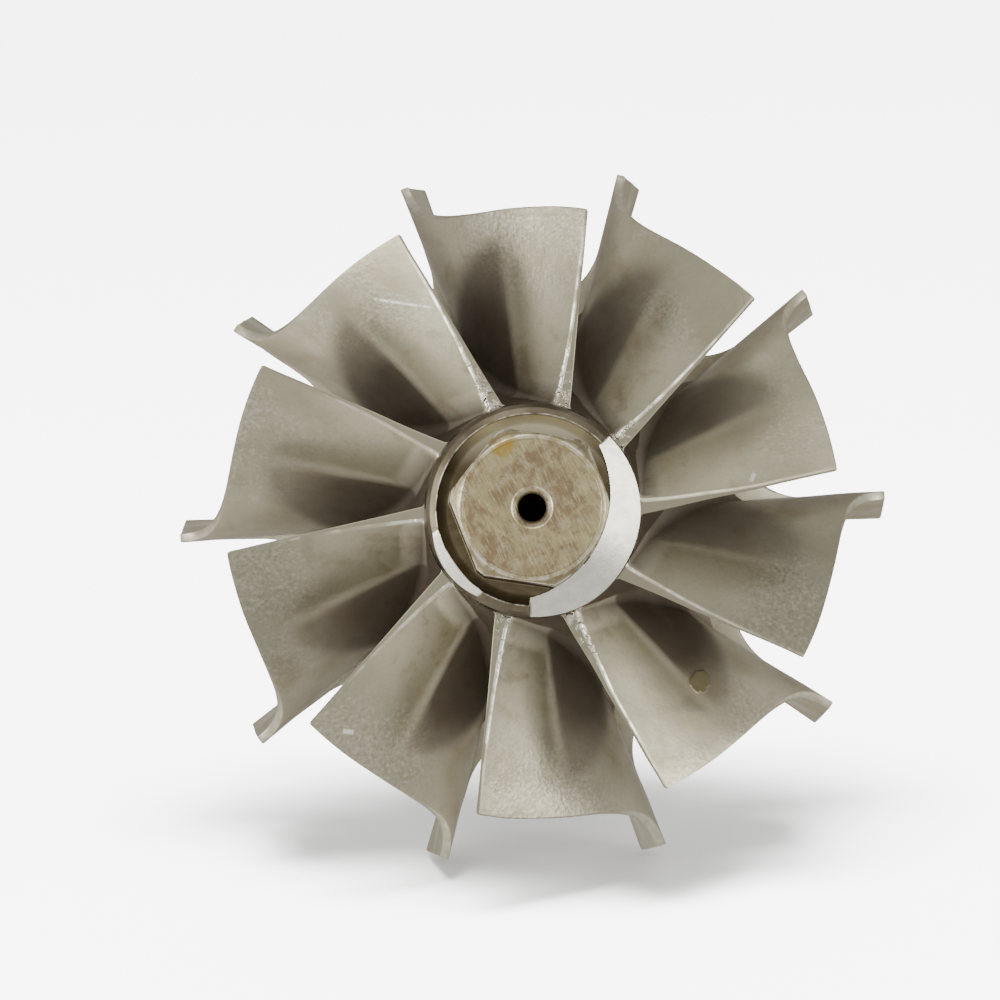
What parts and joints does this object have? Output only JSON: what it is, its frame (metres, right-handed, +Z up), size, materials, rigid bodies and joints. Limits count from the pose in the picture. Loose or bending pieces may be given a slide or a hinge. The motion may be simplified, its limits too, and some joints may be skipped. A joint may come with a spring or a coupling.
{
  "type": "turbocharger turbine wheel",
  "caption": "Radial-inflow turbocharger turbine wheel with curved blades, scalloped back disc and hexagonal nose, welded to its stepped steel rotor shaft with a seal ring",
  "frame": {"origin": "on the floor, under the middle of the rotor as it lies at rest on two blade tips and the end of the shaft", "axes": "+Z up, +Y from the nose to the end of the shaft as seen from above, +X to the right seen from the nose"},
  "size_m": [0.076, 0.1478, 0.0731],
  "materials": {
    "cast_superalloy": "investment-cast nickel alloy, grey-brown, with a fine grain and brushed edges",
    "weld_metal": "weld bead with heat tint",
    "ground_steel": "turned and ground steel",
    "ring_iron": "dark ring iron"
  },
  "bodies": {
    "root": {"wheel_casting": "cast_superalloy", "weld_seam": "weld_metal", "rotor_shaft": "ground_steel", "seal_ring": "ring_iron"}
  },
  "joints": []
}
